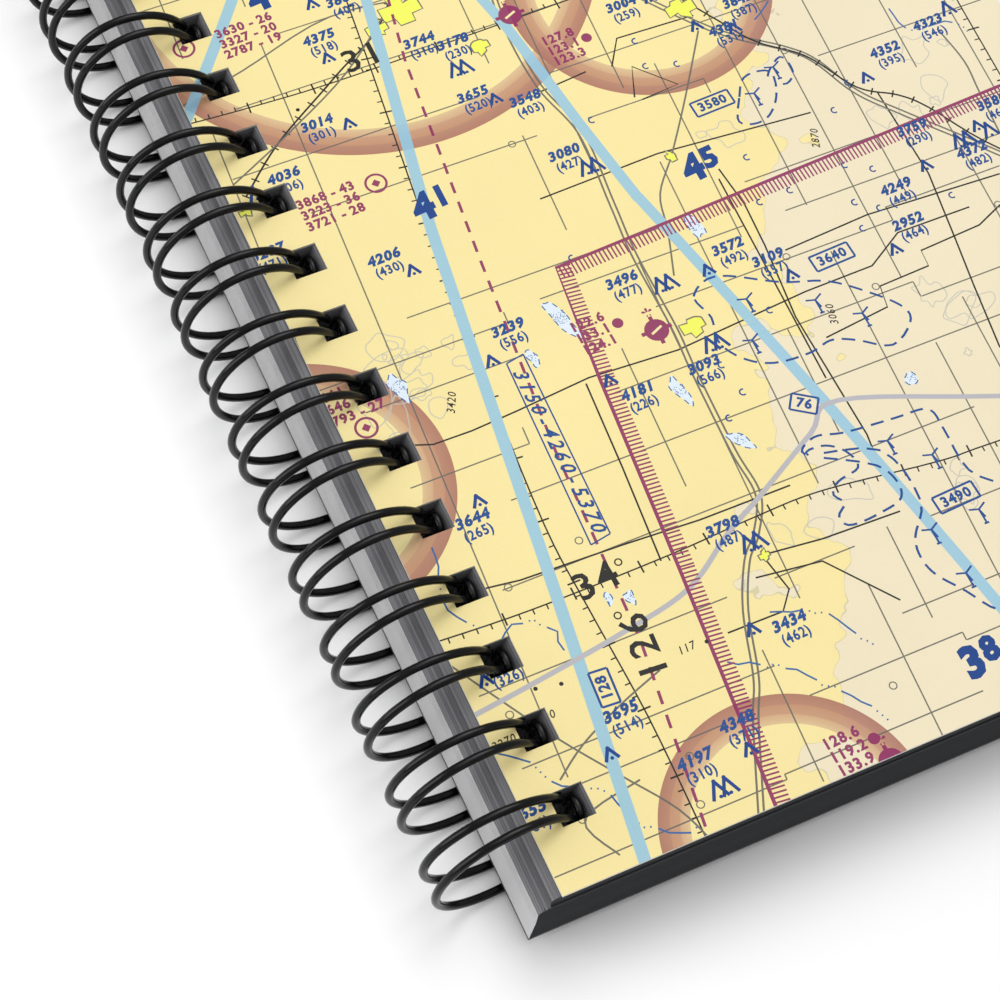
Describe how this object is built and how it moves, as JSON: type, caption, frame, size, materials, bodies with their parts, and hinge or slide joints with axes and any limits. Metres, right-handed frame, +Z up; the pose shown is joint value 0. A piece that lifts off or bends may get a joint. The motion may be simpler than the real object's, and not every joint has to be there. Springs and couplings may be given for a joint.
{
  "type": "wire-bound pilot logbook",
  "caption": "Thick logbook held by black twin-loop wire: chart-printed front cover, plain dark back cover, and punched leaves that turn about the wire.",
  "frame": {"origin": "middle of the bounding box, on the table", "axes": "+Z up through the front cover, +Y along the spine towards the head, -X towards the wire"},
  "size_m": [0.1562, 0.2148, 0.0243],
  "materials": {
    "front_card": null,
    "back_card": "smooth dark grey card",
    "leaf_paper": "uncoated paper with grey cut edges",
    "black_wire": "gloss black nylon-coated steel wire"
  },
  "bodies": {
    "root": {"back_cover": "back_card", "leaves_rest_01": "leaf_paper", "leaves_rest_02": "leaf_paper", "leaves_rest_03": "leaf_paper", "leaves_rest_04": "leaf_paper", "leaves_rest_05": "leaf_paper", "leaves_rest_06": "leaf_paper", "leaves_rest_07": "leaf_paper", "leaves_rest_08": "leaf_paper", "leaves_rest_09": "leaf_paper", "leaves_rest_10": "leaf_paper"},
    "cover": {"front_cover": "front_card"},
    "wire": {"wire_binding": "black_wire"},
    "first": {"leaves_first": "leaf_paper"},
    "second": {"leaves_second": "leaf_paper"},
    "fan_1": {"leaves_fan_1": "leaf_paper"},
    "fan_2": {"leaves_fan_2": "leaf_paper"},
    "fan_3": {"leaves_fan_3": "leaf_paper"},
    "fan_4": {"leaves_fan_4": "leaf_paper"},
    "fan_5": {"leaves_fan_5": "leaf_paper"},
    "fan_6": {"leaves_fan_6": "leaf_paper"}
  },
  "joints": [
    {"name": "cover_turn", "type": "hinge", "parent": "root", "child": "cover", "pos_m": [-0.06582, 0, 0.0122], "axis": [0, -1, 0], "range_deg": [0, 182]},
    {"name": "wire_turn", "type": "hinge", "parent": "root", "child": "wire", "pos_m": [-0.06582, 0, 0.0122], "axis": [0, -1, 0], "range_deg": [0, 182]},
    {"name": "first_leaves_turn", "type": "hinge", "parent": "root", "child": "first", "pos_m": [-0.06582, 0, 0.0122], "axis": [0, -1, 0], "range_deg": [0, 179.3]},
    {"name": "second_leaves_turn", "type": "hinge", "parent": "root", "child": "second", "pos_m": [-0.06582, 0, 0.0122], "axis": [0, -1, 0], "range_deg": [0, 173]},
    {"name": "fan_1_leaves_turn", "type": "hinge", "parent": "root", "child": "fan_1", "pos_m": [-0.06582, 0, 0.0122], "axis": [0, -1, 0], "range_deg": [0, 160.2]},
    {"name": "fan_2_leaves_turn", "type": "hinge", "parent": "root", "child": "fan_2", "pos_m": [-0.06582, 0, 0.0122], "axis": [0, -1, 0], "range_deg": [0, 138.4]},
    {"name": "fan_3_leaves_turn", "type": "hinge", "parent": "root", "child": "fan_3", "pos_m": [-0.06582, 0, 0.0122], "axis": [0, -1, 0], "range_deg": [0, 111.1]},
    {"name": "fan_4_leaves_turn", "type": "hinge", "parent": "root", "child": "fan_4", "pos_m": [-0.06582, 0, 0.0122], "axis": [0, -1, 0], "range_deg": [0, 80.1]},
    {"name": "fan_5_leaves_turn", "type": "hinge", "parent": "root", "child": "fan_5", "pos_m": [-0.06582, 0, 0.0122], "axis": [0, -1, 0], "range_deg": [0, 47.4]},
    {"name": "fan_6_leaves_turn", "type": "hinge", "parent": "root", "child": "fan_6", "pos_m": [-0.06582, 0, 0.0122], "axis": [0, -1, 0], "range_deg": [0, 18.2]}
  ],
  "couplings": [
    {"joint": "wire_turn", "follows": "cover_turn", "ratio": 1},
    {"joint": "first_leaves_turn", "follows": "cover_turn", "ratio": 0.985},
    {"joint": "second_leaves_turn", "follows": "cover_turn", "ratio": 0.95},
    {"joint": "fan_1_leaves_turn", "follows": "cover_turn", "ratio": 0.88},
    {"joint": "fan_2_leaves_turn", "follows": "cover_turn", "ratio": 0.76},
    {"joint": "fan_3_leaves_turn", "follows": "cover_turn", "ratio": 0.61},
    {"joint": "fan_4_leaves_turn", "follows": "cover_turn", "ratio": 0.44},
    {"joint": "fan_5_leaves_turn", "follows": "cover_turn", "ratio": 0.26},
    {"joint": "fan_6_leaves_turn", "follows": "cover_turn", "ratio": 0.1}
  ]
}
